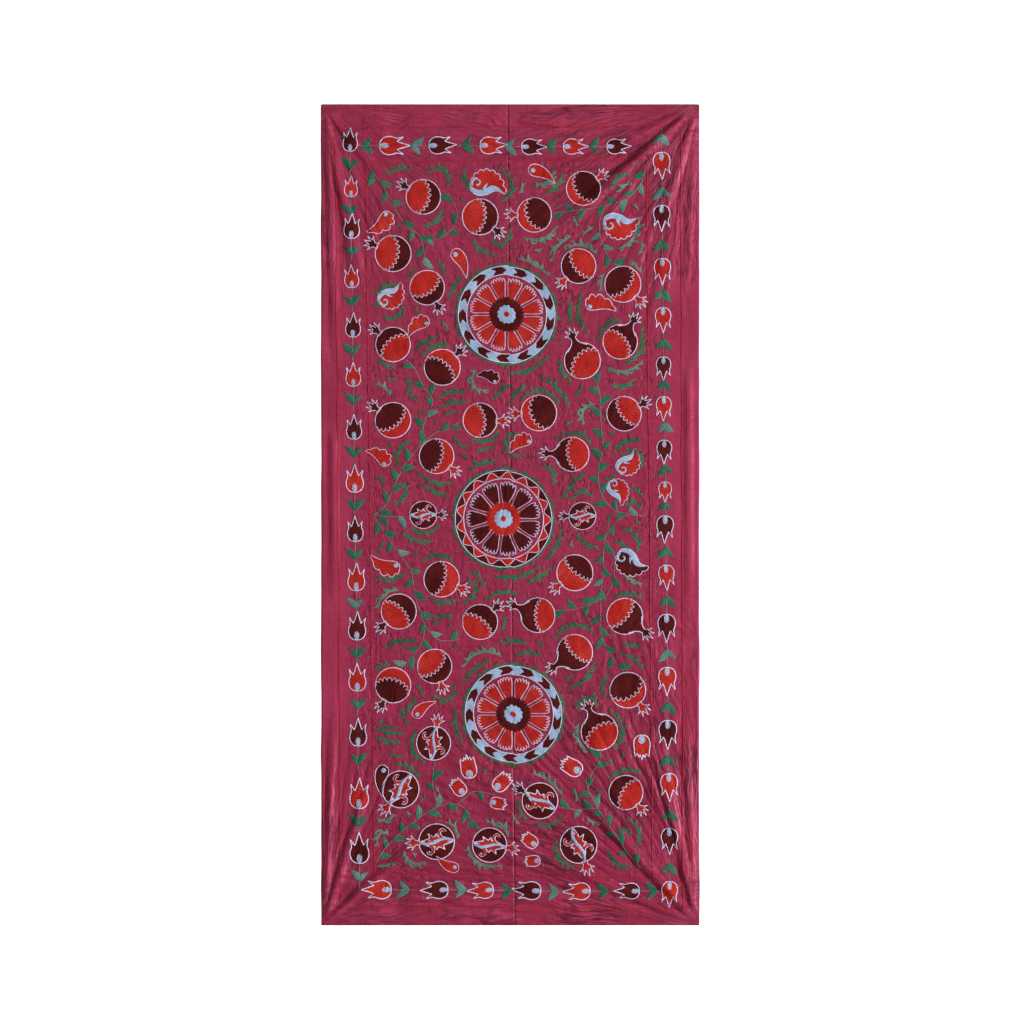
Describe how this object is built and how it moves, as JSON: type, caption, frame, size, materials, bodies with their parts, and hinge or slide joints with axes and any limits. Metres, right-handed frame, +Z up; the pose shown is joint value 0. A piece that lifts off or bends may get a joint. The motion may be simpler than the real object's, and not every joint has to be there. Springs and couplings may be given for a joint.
{
  "type": "suzani embroidered wall cloth",
  "caption": "Long silk suzani in joined loom widths, laid flat face up, with soft folds running in from its corners and a plain margin round an embroidered field.",
  "frame": {"origin": "middle of the cloth on the surface it lies on, at the lowest point of its bounding box", "axes": "+Y runs along the length from foot to head, +X across the width to the right as seen from above, +Z up out of the embroidered face"},
  "size_m": [1, 2.17, 0.0105],
  "materials": {
    "silk": "satin"
  },
  "bodies": {
    "root": {"panel_left": "silk", "panel_right": "silk"}
  },
  "joints": []
}
